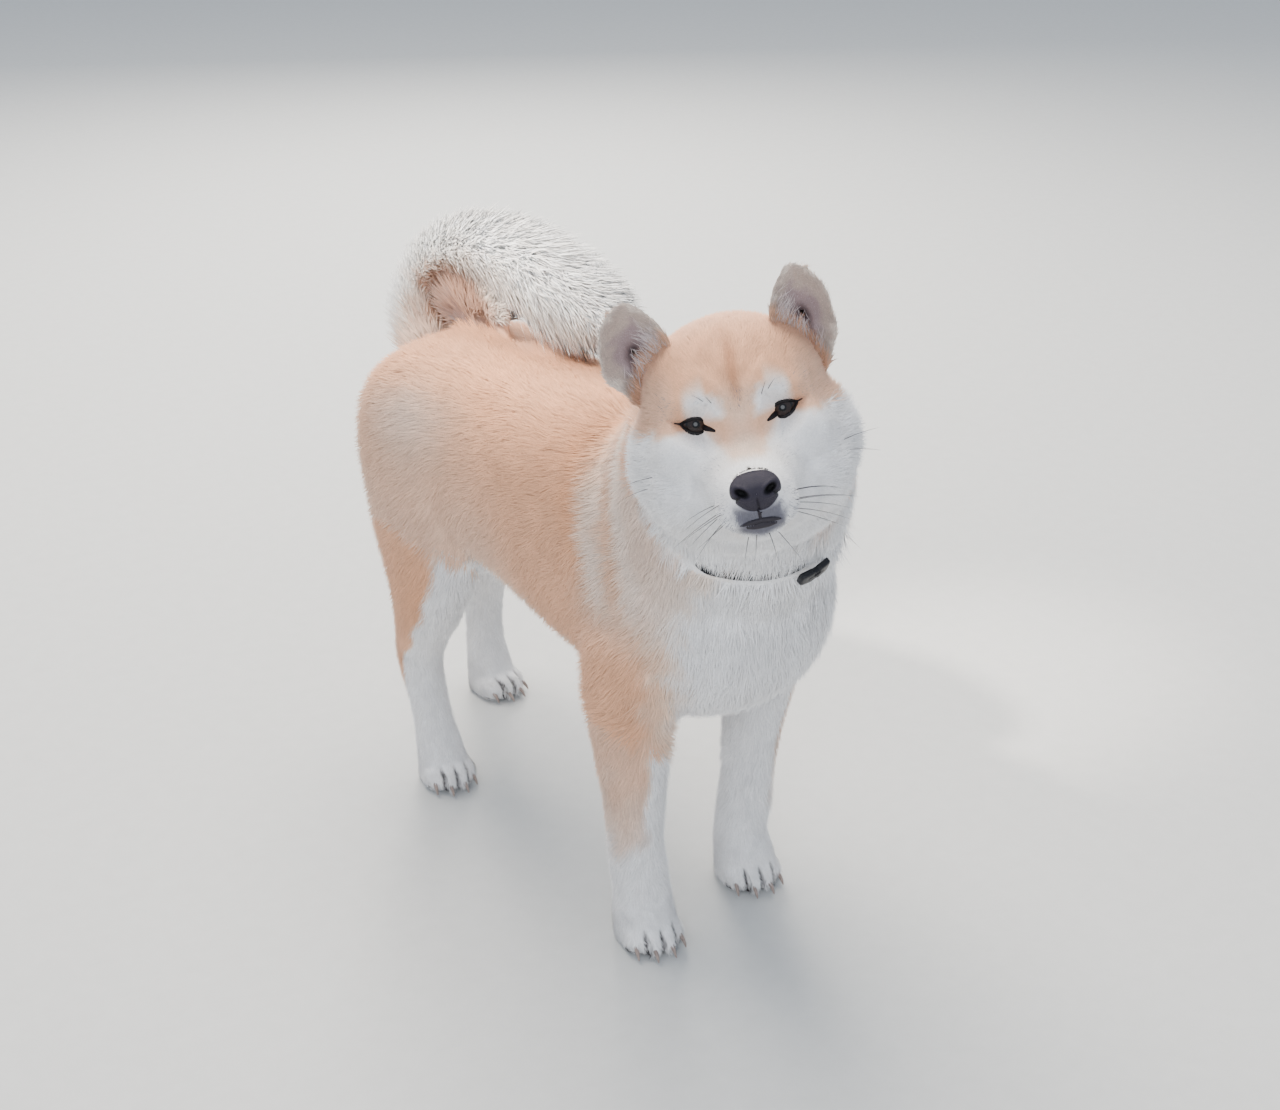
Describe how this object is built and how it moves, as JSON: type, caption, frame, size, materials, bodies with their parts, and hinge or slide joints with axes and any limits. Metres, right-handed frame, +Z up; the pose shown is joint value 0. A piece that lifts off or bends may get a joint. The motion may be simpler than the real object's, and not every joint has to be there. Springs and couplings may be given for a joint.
{
  "type": "shiba inu dog model",
  "caption": "Life-size still model of a shiba inu that stands on four legs, looks to its right, carries its tail curled over the back and wears a thin collar",
  "frame": {"origin": "on the floor, under the middle of the whole model's box", "axes": "+Z up, nose end towards -Y and tail end towards +Y, the dog's right side towards -X"},
  "size_m": [0.236, 0.61, 0.5524],
  "materials": {
    "red_coat": "soft dense fur, apricot red fading to cream",
    "head_coat": "short dense fur, apricot above and white on the cheeks",
    "ear_coat": "very short fur, apricot outside and greyish pink inside",
    "tail_coat": "long brush-like fur, cream",
    "white_coat": "short dense fur, white",
    "eye": "wet, dark brown",
    "nose": "moist, finely pebbled, black",
    "claw": "smooth horn, dark",
    "strap": "woven strap, black",
    "buckle": "satin, black"
  },
  "bodies": {
    "root": {"collar_buckle": "buckle", "collar_strap": "strap", "ear_left": "ear_coat", "ear_right": "ear_coat", "eye_left": "eye", "eye_right": "eye", "foreclaw_left_1": "claw", "foreclaw_left_2": "claw", "foreclaw_left_3": "claw", "foreclaw_left_4": "claw", "foreclaw_right_1": "claw", "foreclaw_right_2": "claw", "foreclaw_right_3": "claw", "foreclaw_right_4": "claw", "foreleg_left": "red_coat", "foreleg_right": "red_coat", "forepaw_left": "white_coat", "forepaw_right": "white_coat", "head": "head_coat", "hindclaw_left_1": "claw", "hindclaw_left_2": "claw", "hindclaw_left_3": "claw", "hindclaw_left_4": "claw", "hindclaw_right_1": "claw", "hindclaw_right_2": "claw", "hindclaw_right_3": "claw", "hindclaw_right_4": "claw", "hindpaw_left": "white_coat", "hindpaw_right": "white_coat", "neck": "red_coat", "nose": "nose", "shank_left": "white_coat", "shank_right": "white_coat", "tail_arch": "tail_coat", "tail_root": "tail_coat", "tail_tip": "tail_coat", "thigh_left": "red_coat", "thigh_right": "red_coat", "torso": "red_coat"}
  },
  "joints": []
}
